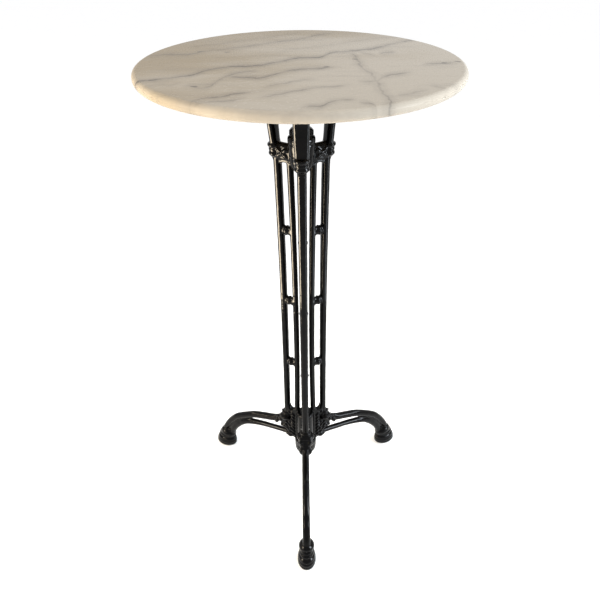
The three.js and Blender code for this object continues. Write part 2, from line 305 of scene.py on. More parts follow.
def rod_drawing(radius, bottom, top, x=0.0, sides=64):
    bm = bmesh.new()
    profile = [(0, bottom), (radius, bottom), (radius, top), (0, top)]
    add_turned(bm, profile, sides, Matrix.Translation((x, 0, 0)))
    return bm


# ---------- one leg casting ----------


def outer_bar_x(z):
    return OUTER_BAR_WAIST + OUTER_BAR_BOW * (z - WAIST_HEIGHT) ** 2


def inner_bar_x(z):
    bow = INNER_BAR_BOW if z > WAIST_HEIGHT else INNER_BAR_LOWER_BOW
    return INNER_BAR_WAIST + bow * (z - WAIST_HEIGHT) ** 2


def draw_uprights(bm):
    heights = [mix(BAR_FOOT, BAR_HEAD, i / 10) for i in range(11)]
    outer = [(outer_bar_x(z), z) for z in heights]
    inner = [(inner_bar_x(z), z) for z in heights]
    add_bar(bm, outer, [7, 7.2, 7.6], [8, 8.6, 9.2], 0.85)
    add_bar(bm, inner, [6.4, 6.4, 6.9], [6.4, 6.4, 6.9])
    for z in RUNG_HEIGHTS:
        start, end = inner_bar_x(z), outer_bar_x(z)
        middle = (start + end) / 2
        half_heights = [15, 12.5, 10.2, 9.6, 10.6, 9.6, 10.2, 12.5, 15]
        add_bar(bm, [(start, z), (middle, z), (end, z)], half_heights, [6, 6.8, 8, 6.8, 6])
        add_boss(bm, (middle, z), 7.6, 10.4)
        add_blob(bm, RING, (middle, 0, z), (2.6, 8.8, 10.6))


def draw_collar(bm):
    z = COLLAR_HEIGHT
    hub = UPPER_HUB["radius"]
    middle = (hub + outer_bar_x(z)) / 2
    add_bar(bm, [(14, z), (40, z), (64, z)], [20, 19, 20], [9, 10, 10], 0.8)
    add_boss(bm, (middle, z + 1), 7.5, 14)
    for flank in (-1, 1):
        for turn in (35, 145, 215, 325):
            direction = math.radians(turn)
            centre = (
                middle + 8.5 * math.cos(direction), 9.5 * flank, z + 1 + 8.5 * math.sin(direction),
            )
            add_blob(bm, BALL, centre, (7.5, 3.4, 3.4), -turn)
    add_ring(bm, (61, z - 4), 13, 15, 4.6)
    add_ring(bm, (62, z + 4.5), 11.8, 13.4, 6.5)
    add_ring(bm, (62.5, z + 13), 14, 15.5, 4.6)
    # rounded ends of the opening below the collar
    add_bar(bm, [(22, 902), (37, 906), (54, 902)], [5, 3, 5], [7, 8, 7])


def stadium(steps=16):
    middle_inner, middle_outer = HEAD_PAD["inner"], HEAD_PAD["outer"]
    half_width = HEAD_PAD["half_width"]
    inner = arc(middle_inner, 0, half_width, 90, 270, steps)
    outer = arc(middle_outer, 0, half_width, -90, 90, steps)
    return inner + outer


def draw_prong(bm):
    line = [(58, BAR_HEAD), (62, 948), (64.4, 972), (68.4, 1008), (75, 1045), (84, 1069)]
    add_bar(bm, line, [11, 7.5, 7.4, 7.5, 7.8, 7.5], [12, 13.2, 14.6, 15.4, 16.6, 17.6], 0.72, 32)
    add_plate(bm, stadium(), HEAD_TOP - HEAD_PAD["thickness"], HEAD_TOP, upright=False)
    add_bar(bm, [(72, 1050), (84, 1062), (98, 1068)], [6, 6, 2], [12, 12, 9], 0.8)


def draw_foot(bm):
    upper = [
        (60, 192.5), (92.5, 175.5), (128, 165), (164, 153), (213, 125),
        (236, 103), (253, 78), (265.5, 52), (270, 40),
    ]
    lower = [
        (34.5, 146.5), (62, 143.5), (92.5, 139.5), (142, 131.5), (185, 119),
        (207, 104.5), (226, 84), (239, 63), (247, 40),
    ]
    between = [(169, 138), (195, 127), (220, 106), (238, 78), (251, 56), (258, 40)]
    add_bar(bm, upper, [9, 9, 9, 9.2], [8.8, 8.8, 8.8, 9], 0.9)
    lower_deep = [7.5, 6.6, 6.3, 7.5, 9.6, 9.8, 10]
    lower_wide = [7, 6.6, 6.6, 7.4, 8.6, 8.8, 9]
    add_bar(bm, lower, lower_deep, lower_wide, 0.9)
    add_bar(bm, between, [2, 8, 9, 9, 9, 9], [3, 4.4, 4.8, 5.4, 6.6, 7.6])


def draw_hoof(bm):
    profile = [
        (0, 1.5), (16, 1.5), (19.6, 3), (21.2, 6), (21.6, 9.5), (20.4, 12.4), (21.5, 15),
        (21.1, 18.4), (19.4, 20.9), (20.1, 23.4), (19, 27.2), (16, 30), (15.4, 31.4),
        (16.9, 33), (17.8, 35.5), (17.5, 38.5), (15.5, 41.5), (15, 47), (0, 47),
    ]
    lean = 0.13
    stretch = 1.4
    widest_height = 10
    place = Matrix((
        (stretch, 0, -lean, FOOT_RADIUS + lean * widest_height),
        (0, 1, 0, 0),
        (0, 0, 1, 0),
        (0, 0, 0, 1),
    ))
    add_turned(bm, profile, 64, place)
    add_blob(bm, BALL, (256, 0, 47.5), (22.5, 18.6, 13.5), -15)


def draw_knuckle(bm):
    outline = [(12, 132), (44, 140.5), (42, 153.5)]
    outline += quad_bend((42, 153.5), (48, 171.5), (70, 171.5))
    outline += [(76, 187.5), (62, 211.5), (45.5, 242)]
    outline += arc(38, 239, 7.5, 0, -180, 10)
    outline += [(12, 237)]
    add_plate(bm, outline, -7, 7, upright=True)
    add_ring(bm, (54, 205.7), 16.5, 22, 6.5)
    add_ring(bm, (54.5, 217), 12, 13.5, 4.5)
    add_boss(bm, (66, 193.5), 11, 19.5)
    add_ring(bm, (80.5, 180.5), 13.5, 16.5, 5.4, 70)
    add_boss(bm, (43.5, 142.5), 10.5, 12)
    add_ring(bm, (52, 143.5), 9.5, 10.5, 3.2, 82)
    for flank in (-1, 1):
        for turn in (20, 60, 100, 140):
            direction = math.radians(turn)
            x, z = 66 - 9 * math.cos(direction), 193.5 + 9 * math.sin(direction)
            add_blob(bm, BALL, (x, 11.5 * flank, z), (6.5, 4.6, 3.2), turn)
        # overlapping leaves cover the web in slanting rows
        for row, reach in enumerate((41, 47, 54, 52, 46, 45, 43)):
            z = 151 + 11.5 * row
            leaves_across = int((reach - 31) / 8) + 1
            for i in range(leaves_across):
                x = mix(32, reach, i / max(1, leaves_across - 1))
                add_blob(bm, BALL, (x, 6.5 * flank, z + 3 * (i % 2)), (7.5, 5.6, 3.4), -40)
    # leaves along the arched edge of the web, smaller towards the lower member
    leaves = quad_bend((74, 169), (51, 170), (44, 156), 6)
    for i, (x, z) in enumerate(leaves):
        size = mix(6.2, 4.6, i / len(leaves))
        add_blob(bm, BALL, (x, 0, z), (size, 12, size))


def draw_hubs(bm):
    low, high = LOWER_HUB, UPPER_HUB
    chamfer = 6
    bend = 12
    rounding = [
        (high["radius"] - bend + across, high["bottom"] + 2 * (bend + up))
        for across, up in arc(0, 0, bend, -90, 0, 8)
    ]
    add_turned(bm, [
        (0, low["bottom"] - SPIGOT_LENGTH), (SPIGOT_RADIUS, low["bottom"] - SPIGOT_LENGTH),
        (SPIGOT_RADIUS, low["bottom"]), (low["radius"], low["bottom"]),
        *arc(low["radius"] - chamfer, low["shoulder"] - chamfer, chamfer, 0, 90, 6),
        (low["neck"] - 3, low["shoulder"]), (low["neck"], low["shoulder"] + 4),
        *arc(low["neck"] - chamfer, low["top"] - chamfer, chamfer, 0, 90, 6), (0, low["top"]),
    ], 96)
    add_turned(bm, [
        (0, high["bottom"]), *rounding,
        (high["radius"], high["top"]), (SPIGOT_RADIUS, high["top"]),
        (SPIGOT_RADIUS, high["top"] + SPIGOT_LENGTH), (0, high["top"] + SPIGOT_LENGTH),
    ], 96)


def rough_iron():
    """All of one leg, run together into a single skin and softened."""
    bm = bmesh.new()
    draw_uprights(bm)
    draw_collar(bm)
    draw_prong(bm)
    draw_foot(bm)
    draw_hoof(bm)
    draw_knuckle(bm)
    draw_hubs(bm)
    iron = thing_from(shape_from(bm, "rough_iron"))
    fused = iron.modifiers.new("fused", "REMESH")
    fused.mode = "VOXEL"
    fused.voxel_size = VOXEL * MM
    softened = iron.modifiers.new("softened", "SMOOTH")
    softened.factor = 0.5
    softened.iterations = 4
    settle(iron)
    return iron


def add_lumps(shape, seed):
    """The coat of enamel and the slight unevenness of a sand casting, along the normals."""
    shift = Vector((seed * 3.7, seed * 1.9, seed * 5.3))
    normals = [vertex.normal.copy() for vertex in shape.vertices]
    for vertex, normal in zip(shape.vertices, normals):
        place = vertex.co / (LUMP_SIZE * MM) + shift
        height = noise.noise(place) + 0.4 * noise.noise(place * 3.1)
        vertex.co += normal * (MM * (ENAMEL_COAT + LUMP_HEIGHT * height))


def third_of_space():
    """The third that one leg may fill, half a gap short of its neighbours."""
    bm = bmesh.new()
    reach = 2 * TOP_RADIUS
    apex = GAP / 2 / math.sin(math.pi / 3)
    half = reach * math.sin(math.pi / 3)
    wedge = [
        (apex, 0), (apex + reach / 2, -half), (apex + reach, 0), (apex + reach / 2, half),
    ]
    add_plate(bm, wedge, 0, TABLE_HEIGHT, upright=False)
    return bm


def finial_seat():
    bm = bmesh.new()
    hub_top = UPPER_HUB["top"]
    wide = finial_high.x + GAP
    top = finial_high.z
    add_turned(bm, [
        (0, hub_top + SPIGOT_LENGTH), (SPIGOT_RADIUS, hub_top + SPIGOT_LENGTH),
        (SPIGOT_RADIUS, hub_top), (wide, hub_top), (wide, top), (0, top),
    ], 96)
    return bm


def leg_casting(iron, name, angle, seed):
    casting = thing_from(iron.data.copy())
    casting.name = name
    add_lumps(casting.data, seed)
    screw_low_z = HEAD_TOP - 2 * HEAD_PAD["thickness"]
    cut(casting, third_of_space(), "INTERSECT")
    cut(casting, finial_seat())
    cut(casting, rod_drawing(TOP_RADIUS, HEAD_TOP, TABLE_HEIGHT))
    cut(casting, rod_drawing(ROD_RADIUS + GAP, 0, TABLE_HEIGHT))
    cut(casting, rod_drawing(3 + GAP, screw_low_z, TABLE_HEIGHT, SCREW_PLACE))
    cut(casting, rod_drawing(FLOOR_PAD_RADIUS + GAP, 0, pad_high.z + GAP, FOOT_RADIUS))
    cut(casting, rod_drawing(2 + GAP, 0, 20, FOOT_RADIUS))
    casting.data.transform(Matrix.Rotation(math.radians(angle), 4, "Z"))
    return casting


# ---------- turned pieces ----------


def turned_piece(name, profile, sides=96, closed=False, x=0.0, angle=0.0):
    bm = bmesh.new()
    place = Matrix.Rotation(math.radians(angle), 4, "Z") @ Matrix.Translation((x, 0, 0))
    add_turned(bm, profile, sides, place, closed)
    return thing_from(shape_from(bm, name))


def eased_washer(inner, outer, bottom, top, edge):
    """Outline of a washer with its four corners rounded."""
    steps = 4
    return [
        *arc(outer - edge, bottom + edge, edge, -90, 0, steps),
        *arc(outer - edge, top - edge, edge, 0, 90, steps),
        *arc(inner + edge, top - edge, edge, 90, 180, steps),
        *arc(inner + edge, bottom + edge, edge, 180, 270, steps),
    ]


def marble_top():
    edge = TOP_EDGE_ROUNDING
    profile = [
        (0, UNDERSIDE),
        *arc(TOP_RADIUS - edge, UNDERSIDE + edge, edge, -90, 0, 10),
        *arc(TOP_RADIUS - edge, TABLE_HEIGHT - edge, edge, 0, 90, 10),
        (0, TABLE_HEIGHT),
    ]
    slab = turned_piece("marble_top", profile, 240)
    insert_high = box_of("marble_insert_front")[1]
    socket_radius, socket_top = insert_high.x + GAP, insert_high.z + 2 * GAP
    for angle in LEG_ANGLES.values():
        socket = rod_drawing(socket_radius, UNDERSIDE - 1, socket_top, SCREW_PLACE)
        bmesh.ops.rotate(
            socket, cent=(0, 0, 0), verts=socket.verts,
            matrix=Matrix.Rotation(math.radians(angle), 3, "Z"),
        )
        cut(slab, socket)
    return slab


def grooves(radius, low, high, count, depth):
    """A turned wall from low to high with even shallow grooves round it."""
    pairs = []
    steps = 8
    for i in range(count * steps + 1):
        share = i / (count * steps)
        wave = 0.5 - 0.5 * math.cos(2 * math.pi * count * share)
        pairs.append((radius - depth * wave, mix(low, high, share)))
    return pairs


def finial_nut():
    base = finial_low.z
    skirt = finial_high.x
    recess = base + SPIGOT_LENGTH + 2.2
    bore = ROD_RADIUS + GAP
    profile = [
        (SPIGOT_RADIUS + GAP, recess), (SPIGOT_RADIUS + GAP, base), (25.2, base), (25.9, base + 0.8),
        (26.2, base + 6), (27, base + 14), (skirt - 0.2, base + 19.5), (skirt, base + 22),
        (skirt - 0.8, base + 23.6), (skirt - 0.8, base + 25), (skirt, base + 26.4),
        (skirt - 0.1, base + 31), (26.8, base + 34.4), (25, base + 36.4), (23.2, base + 37.6),
        (22.4, base + 38.6), (23, base + 39.8), (24, base + 41),
        *grooves(24, base + 41.6, base + 46.4, 2, 0.9),
        (23.8, base + 47.2), (22.6, base + 48), (22.4, base + 48.8), (21, base + 50.8),
        (16.5, base + 53), (11, base + 54), (4, finial_high.z), (0, finial_high.z),
    ]
    top = rod_high.z + 1
    profile = [(0, top), (bore, top), (bore, recess)] + profile
    return turned_piece("finial_nut", profile, 120)


def lower_cap_nut():
    """A full round bulb with fine ribs, and a small pip below."""
    top = cap_high.z
    radius = cap_high.x + 2.2
    depth = 21
    bore = ROD_RADIUS + GAP
    recess = rod_low.z + 6.5
    ribs = 4
    rib_depth = 0.7
    fullness = 0.45
    dome = []
    for across, up in arc(0, 0, 1, -76, 0, 48):
        share = 1 + up
        ripple = rib_depth * (0.5 - 0.5 * math.cos(2 * math.pi * ribs * share))
        dome.append((across ** fullness * (radius - ripple), top + up * depth))
    profile = [
        (0, cap_low.z + 1.5), (3, cap_low.z + 1.7), (5.2, cap_low.z + 2.6), (6, cap_low.z + 4),
        *dome,
        (SPIGOT_RADIUS + GAP, top), (SPIGOT_RADIUS + GAP, recess), (bore, recess),
        (bore, rod_low.z - 1), (0, rod_low.z - 1),
    ]
    return turned_piece("lower_cap_nut", profile, 120)


def tie_rod():
    """A rod with rolled threads at both ends, where the nuts grip it."""
    thread_length = 30
    turns = 20
    low, high = rod_low.z, rod_high.z
    profile = [
        (0, low), (ROD_RADIUS - 1, low),
        *grooves(ROD_RADIUS, low + 1, low + thread_length, turns, 0.6),
        (ROD_RADIUS, low + thread_length + 1), (ROD_RADIUS, high - thread_length - 1),
        *grooves(ROD_RADIUS, high - thread_length, high - 1, turns, 0.6),
        (ROD_RADIUS - 1, high), (0, high),
    ]
    return turned_piece("tie_rod", profile, 48)


def washer_like(node, edge, inner):
    """A washer, cushion or sleeve that fills its CAD node's box, on the table's axis or on a leg."""
    low, high = box_of(node)
    leg = node.rsplit("_", 1)[1]
    angle = LEG_ANGLES.get(leg, 0)
    x = SCREW_PLACE if leg in LEG_ANGLES else 0
    front = node.replace(leg, "front") if leg in LEG_ANGLES else node
    outer = box_of(front)[1].x
    profile = eased_washer(inner, outer, low.z, high.z, edge)
    return turned_piece(node, profile, 64, True, x, angle)


def marble_insert(node):
    """A threaded sleeve with a ribbed outside that bites into the stone."""
    low, high = box_of(node)
    outer = box_of("marble_insert_front")[1].x
    inner = 3 + GAP
    profile = [
        (inner, low.z), (outer - 0.5, low.z), *grooves(outer, low.z + 0.6, high.z - 0.6, 6, 0.5),
        (outer - 0.5, high.z), (inner, high.z),
    ]
    leg = node.rsplit("_", 1)[1]
    return turned_piece(node, profile, 48, True, SCREW_PLACE, LEG_ANGLES[leg])


def socket_screw(node, x, head_radius, head_height, radius, drive):
    """A round-headed screw, head down, with a six-sided drive recess."""
    low, high = box_of(node)
    head_top = low.z + head_height
    profile = [
        (0, low.z), (head_radius * 0.6, low.z), (head_radius * 0.86, low.z + head_height * 0.14),
        (head_radius, low.z + head_height * 0.45), (head_radius, head_top - 0.2),
        (head_radius - 0.2, head_top), (radius, head_top),
        *grooves(radius, head_top + 1, high.z - 2, 14, 0.35),
        (radius - 0.8, high.z - 1), (0, high.z),
    ]
    leg = node.rsplit("_", 1)[1]
    screw = turned_piece(node, profile, 48, x=x)
    cut(screw, rod_drawing(drive, low.z - 1, low.z + head_height * 0.6, x, 6))
    screw.data.transform(Matrix.Rotation(math.radians(LEG_ANGLES[leg]), 4, "Z"))
    return screw


def marble_screw(node):
    return socket_screw(node, SCREW_PLACE, screw_high.x, 4, 3, 2.3)


def floor_pad_screw(node):
    head_radius = box_of("floor_pad_screw_front")[1].x
    return socket_screw(node, FOOT_RADIUS, head_radius, 1.3, 2, 1.4)


def floor_pad(node):
    """A rubber foot with two tread grooves and a recess for its screw."""
    low, high = pad_low.z, pad_high.z
    recess, hole, floor = 4.5, 2.3, 2.6
    profile = [
        (recess, low), (7, low), (7.4, low + 0.8), (8, low + 0.8), (8.4, low), (10, low),
        (FLOOR_PAD_RADIUS - 0.6, low), (FLOOR_PAD_RADIUS, low + 0.6),
        (FLOOR_PAD_RADIUS, high - 0.4), (FLOOR_PAD_RADIUS - 0.4, high), (hole, high),
        (hole, floor), (recess, floor),
    ]
    leg = node.rsplit("_", 1)[1]
    return turned_piece(node, profile, 64, True, FOOT_RADIUS, LEG_ANGLES[leg])


# ---------- materials ----------


def new_material(name):
    """A material with its node tree, its shader and the place on the object in metres."""
    material = bpy.data.materials.new(name)
    material.use_nodes = True
    tree = material.node_tree
    shader = tree.nodes["Principled BSDF"]
    place = tree.nodes.new("ShaderNodeTexCoord").outputs["Object"]
    return material, tree, shader, place


def connect(tree, value, socket):
    """Feeds a socket with another socket's value or with a number."""
    if isinstance(value, bpy.types.NodeSocket):
        tree.links.new(value, socket)
    else:
        socket.default_value = value


def calculate(tree, operation, a, b=None):
    step = tree.nodes.new("ShaderNodeMath")
    step.operation = operation
    connect(tree, a, step.inputs[0])
    if b is not None:
        connect(tree, b, step.inputs[1])
    return step.outputs[0]


def speckle(tree, place, scale, detail=3.0, roughness=0.5, stretch=(1, 1, 1)):
    """A cloudy pattern from 0 to 1; stretch packs it tighter along an axis."""
    mapping = tree.nodes.new("ShaderNodeMapping")
    mapping.inputs["Scale"].default_value = stretch
    tree.links.new(place, mapping.inputs["Vector"])
    pattern = tree.nodes.new("ShaderNodeTexNoise")
    pattern.inputs["Scale"].default_value = scale
    pattern.inputs["Detail"].default_value = detail
    pattern.inputs["Roughness"].default_value = roughness
    tree.links.new(mapping.outputs[0], pattern.inputs["Vector"])
    return pattern.outputs["Fac"]


def eased(tree, value, low, high, start=0.0, end=1.0):
    """Runs smoothly from start to end as the value goes from low to high."""
    step = tree.nodes.new("ShaderNodeMapRange")
    step.interpolation_type = "SMOOTHSTEP"
    tree.links.new(value, step.inputs["Value"])
    step.inputs["From Min"].default_value = low
    step.inputs["From Max"].default_value = high
    step.inputs["To Min"].default_value = start
    step.inputs["To Max"].default_value = end
    return step.outputs["Result"]


def blend_colours(tree, share, first, second):
    step = tree.nodes.new("ShaderNodeMix")
    step.data_type = "RGBA"
    tree.links.new(share, step.inputs["Factor"])
    connect(tree, first, step.inputs[6])
    connect(tree, second, step.inputs[7])
    return step.outputs[2]


def add_bump(tree, shader, height, distance):
    """Raises the surface by up to a distance in metres."""
    step = tree.nodes.new("ShaderNodeBump")
    step.inputs["Distance"].default_value = distance
    step.inputs["Strength"].default_value = 1
    tree.links.new(height, step.inputs["Height"])
    tree.links.new(step.outputs["Normal"], shader.inputs["Normal"])


def black_enamel():
    material, tree, shader, place = new_material("black_enamel")
    flow = speckle(tree, place, 38, 4)
    peel = speckle(tree, place, 420, 2)
    deep, shallow = (0.0002, 0.0002, 0.0003, 1), (0.0009, 0.0008, 0.0008, 1)
    colour = blend_colours(tree, eased(tree, flow, 0.3, 0.7), deep, shallow)
    tree.links.new(colour, shader.inputs["Base Color"])
    tree.links.new(eased(tree, flow, 0.3, 0.75, 0.05, 0.11), shader.inputs["Roughness"])
    shader.inputs["Specular IOR Level"].default_value = 0.095
    height = calculate(tree, "ADD", flow, calculate(tree, "MULTIPLY", peel, 0.04))
    add_bump(tree, shader, height, 0.0008)
    return material


def plain_metal(name, dark, light, rough, grain_stretch):
    material, tree, shader, place = new_material(name)
    grain = speckle(tree, place, 500, 3, 0.6, grain_stretch)
    tarnish = speckle(tree, place, 60, 4)
    colour = blend_colours(tree, eased(tree, tarnish, 0.3, 0.7), dark, light)
    tree.links.new(colour, shader.inputs["Base Color"])
    tree.links.new(eased(tree, grain, 0.2, 0.8, rough, rough + 0.15), shader.inputs["Roughness"])
    shader.inputs["Metallic"].default_value = 1
    add_bump(tree, shader, grain, 0.00005)
    return material


def steel():
    return plain_metal("steel", (0.42, 0.43, 0.45, 1), (0.56, 0.57, 0.58, 1), 0.25, (1, 1, 8))


def brass():
    return plain_metal("brass", (0.56, 0.38, 0.12, 1), (0.72, 0.52, 0.20, 1), 0.28, (1, 1, 8))


def rubber():
    material, tree, shader, place = new_material("rubber")
    grain = speckle(tree, place, 700, 4, 0.6)
    colour = blend_colours(tree, grain, (0.010, 0.010, 0.010, 1), (0.022, 0.022, 0.022, 1))
    tree.links.new(colour, shader.inputs["Base Color"])
    tree.links.new(eased(tree, grain, 0.3, 0.7, 0.65, 0.85), shader.inputs["Roughness"])
    add_bump(tree, shader, grain, 0.0001)
    return material


# Veins in the marble, as places on the top in millimetres seen from above, with x to the right
# and y away from the front leg.  Each has its half width in millimetres and its darkness.
# Most places were traced from a photograph of the stone and put into millimetres by a program.
LONG_VEINS = [
    ([(-300, 45), (-258, 62), (-215, 62), (-190, 86), (-150, 105), (-98, 137), (-54, 170),
      (-3, 196), (40, 240), (80, 262)], 3.5, 0.42),
    ([(-300, -132), (-256, -121), (-220, -110), (-187, -88), (-160, -57), (-114, -31), (-79, -30),
      (-45, -4), (0, 30), (33, 34), (66, 75), (108, 83), (153, 113), (221, 177), (260, 200)],
     2.8, 0.70),
    ([(-262, -165), (-240, -155), (-227, -145), (-211, -150), (-190, -128)], 2.2, 0.40),
    ([(-192, -164), (-176, -157), (-163, -167), (-147, -163), (-133, -120), (-113, -84),
      (-66, -66)], 3.0, 0.42),
    ([(-132, -107), (-85, -106), (-70, -112), (-33, -79), (0, -55), (28, -51), (66, -40)], 2.6, 0.55),
    ([(-66, -180), (-40, -156), (0, -132), (30, -122)], 2.2, 0.36),
    ([(-176, -262), (-165, -247), (-150, -229), (-122, -220), (-90, -199), (-70, -198)], 2.4, 0.62),
    ([(-145, -245), (-101, -240), (-77, -219)], 2.2, 0.40),
    ([(-70, -228), (-33, -210), (0, -187), (30, -172), (52, -171), (85, -150)], 2.0, 0.42),
    ([(-4, -290), (10, -277), (28, -271), (50, -247), (90, -237)], 2.2, 0.60),
    ([(147, 56), (165, 71), (184, 75)], 4.0, 0.40),
    ([(98, 84), (123, 62), (148, 34)], 2.4, 0.30),
    ([(88, -131), (123, -136), (136, -116), (160, -96), (199, -77)], 2.8, 0.50),
    ([(212, -38), (231, -25), (271, -19), (290, -10)], 2.4, 0.42),
    ([(87, -253), (103, -262), (112, -290)], 2.2, 0.50),
    ([(208, -170), (216, -173), (232, -190)], 2.2, 0.42),
    ([(140, -229), (185, -199), (206, -186)], 2.6, 0.30),
    ([(-230, 120), (-150, 165), (-60, 225), (10, 270)], 3.5, 0.22),
    ([(60, 130), (140, 190), (220, 215)], 3.5, 0.18),
    ([(-60, 60), (20, 118), (90, 150)], 3.5, 0.16),
]
# veins that run front to back, as (y, x) places
CROSS_VEINS = [
    ([(-306, 118), (-249, 132), (-185, 127), (-133, 126), (-105, 124), (-41, 106), (13, 101),
      (51, 97), (83, 87)], 1.6, 0.42),
    ([(-262, -150), (-235, -162)], 1.5, 0.25),
]
KNOTS = [
    (-192, 86), (-140, 81), (-119, -33), (-170, -161), (101, 13), (46, -42), (258, -19), (285, -11),
]


def vein(tree, run, side, points, half_width, darkness, wobble):
    """Darkness of one vein that runs along one axis and strays sideways along the other."""
    reach = TOP_RADIUS + 20
    route = tree.nodes.new("ShaderNodeFloatCurve")
    line = route.mapping.curves[0]
    shares = [((a + reach) / (2 * reach), (b + reach) / (2 * reach)) for a, b in points]
    line.points[0].location = shares[0]
    line.points[1].location = shares[-1]
    for share in shares[1:-1]:
        line.points.new(*share)
    route.mapping.update()
    first, last = points[0][0] * MM, points[-1][0] * MM
    share_run = calculate(tree, "MULTIPLY_ADD", run, 1 / (2 * reach * MM))
    share_run.node.inputs[2].default_value = 0.5
    tree.links.new(share_run, route.inputs["Value"])
    middle = calculate(tree, "MULTIPLY_ADD", route.outputs[0], 2 * reach * MM)
    middle.node.inputs[2].default_value = -reach * MM
    away = calculate(tree, "ABSOLUTE", calculate(tree, "SUBTRACT", side, middle))
    core = eased(tree, away, 0, half_width * MM * 3, darkness, 0)
    halo = eased(tree, away, 0, half_width * MM * 11, darkness * 0.42, 0)
    body = calculate(tree, "MAXIMUM", core, halo)
    fade = min(0.03, (last - first) / 3)
    begin = eased(tree, run, first - 0.004, first + fade)
    finish = eased(tree, run, last - fade, last + 0.004, 1, 0)
    ends = calculate(tree, "MULTIPLY", begin, finish)
    patchy = calculate(tree, "MULTIPLY", ends, wobble)
    return calculate(tree, "MULTIPLY", body, patchy)


def knot(tree, run, side, x, y):
    """Darkness of one small oval spot, whose place on the top is in millimetres."""
    reach = 0.007
    gap_x = calculate(tree, "SUBTRACT", run, x * MM)
    gap_y = calculate(tree, "MULTIPLY", calculate(tree, "SUBTRACT", side, y * MM), 1.6)
    square_x = calculate(tree, "POWER", calculate(tree, "ABSOLUTE", gap_x), 2.0)
    square_y = calculate(tree, "POWER", calculate(tree, "ABSOLUTE", gap_y), 2.0)
    away = calculate(tree, "ADD", square_x, square_y)
    return eased(tree, away, 0, reach ** 2 * 1.6, 0.6, 0)


def marble():
    """Warm grey marble; its pattern hardly changes with height, so that veins run down the edge."""
    material, tree, shader, place = new_material("marble")
    flat = tree.nodes.new("ShaderNodeVectorMath")
    flat.operation = "MULTIPLY"
    flat.inputs[1].default_value = (1, 1, 0.15)
    tree.links.new(place, flat.inputs[0])
    flat_place = flat.outputs[0]
    wander = speckle(tree, flat_place, 28, 4, 0.6)
    axes = tree.nodes.new("ShaderNodeSeparateXYZ")
    tree.links.new(flat_place, axes.inputs[0])
    stray = eased(tree, wander, 0.2, 0.8, -0.006, 0.006)
    strayed_x = calculate(tree, "ADD", axes.outputs["X"], stray)
    strayed_y = calculate(tree, "ADD", axes.outputs["Y"], stray)
    patches = eased(tree, speckle(tree, flat_place, 22, 3, 0.6), 0.3, 0.6, 0.45, 1)
    darkest = None
    routes = [(axes.outputs["X"], strayed_y, entry) for entry in LONG_VEINS]
    routes += [(axes.outputs["Y"], strayed_x, entry) for entry in CROSS_VEINS]
    for run, side, (points, half_width, darkness) in routes:
        line = vein(tree, run, side, points, half_width, darkness, patches)
        darkest = line if darkest is None else calculate(tree, "MAXIMUM", darkest, line)
    for x, y in KNOTS:
        spot = knot(tree, axes.outputs["X"], strayed_y, x, y)
        darkest = calculate(tree, "MAXIMUM", darkest, spot)
    clouds = speckle(tree, flat_place, 3.2, 4, 0.55, (1, 2.6, 1))
    streaks = speckle(tree, flat_place, 7, 6, 0.65, (1, 5, 1))
    # painted shade: the slab is painted warmer and darker towards its left and its back, as if less
    # light fell there, and random clouds vary the tone on top of it
    painted_shade_from_left = calculate(tree, "MULTIPLY", axes.outputs["X"], 0.75)
    painted_shade_from_back = calculate(tree, "MULTIPLY", axes.outputs["Y"], -0.66)
    painted_shade_slope = calculate(tree, "ADD", painted_shade_from_left, painted_shade_from_back)
    clouds_and_painted_shade = calculate(tree, "ADD", painted_shade_slope, eased(tree, clouds, 0.3, 0.7, -0.12, 0.12))
    # the tone mixes this painted shade with the random clouds, from the darker warm colour to the
    # lighter one
    tone = eased(tree, clouds_and_painted_shade, -0.30, 0.17)
    stone = blend_colours(tree, tone, (0.222, 0.183, 0.128, 1), (0.318, 0.286, 0.240, 1))
    faint = eased(tree, streaks, 0.52, 0.70, 0, 0.3)
    stone = blend_colours(tree, faint, stone, (0.185, 0.167, 0.146, 1))
    stone = blend_colours(tree, darkest, stone, (0.034, 0.032, 0.036, 1))
    tree.links.new(stone, shader.inputs["Base Color"])
    polish = speckle(tree, place, 90, 3)
    tree.links.new(eased(tree, polish, 0.3, 0.7, 0.25, 0.28), shader.inputs["Roughness"])
    shader.inputs["Specular IOR Level"].default_value = 0.02
    return material


def backdrop():
    material, tree, shader, place = new_material("backdrop")
    grain = speckle(tree, place, 9, 3)
    colour = blend_colours(tree, grain, (0.91, 0.91, 0.905, 1), (0.935, 0.935, 0.93, 1))
    tree.links.new(colour, shader.inputs["Base Color"])
    shader.inputs["Roughness"].default_value = 0.9
    shader.inputs["Specular IOR Level"].default_value = 0.1
    return material


# ---------- the table ----------

slots = {part["node"]: part["material_slot"] for part in frame["record"]["subparts"]}
finishes = {
    "marble": marble(), "black_enamel": black_enamel(), "steel": steel(), "brass": brass(),
    "rubber": rubber(),
}


def fit(piece, node, sharp=35):
    """Gives a piece its finish and lets it stand for its CAD node."""
    shape = piece.data
    shape.materials.clear()
    shape.materials.append(finishes[slots[node]])
    shape.shade_smooth()
    shape.set_sharp_from_angle(angle=math.radians(sharp))
    piece.name = node + "_look"
    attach(piece, "root")
    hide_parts(node)


fit(marble_top(), "marble_top")
fit(tie_rod(), "tie_rod")
fit(finial_nut(), "finial_nut")
fit(lower_cap_nut(), "lower_cap_nut")
for hub_washer in ("finial_washer", "lower_washer"):
    fit(washer_like(hub_washer, 0.4, ROD_RADIUS + GAP), hub_washer)

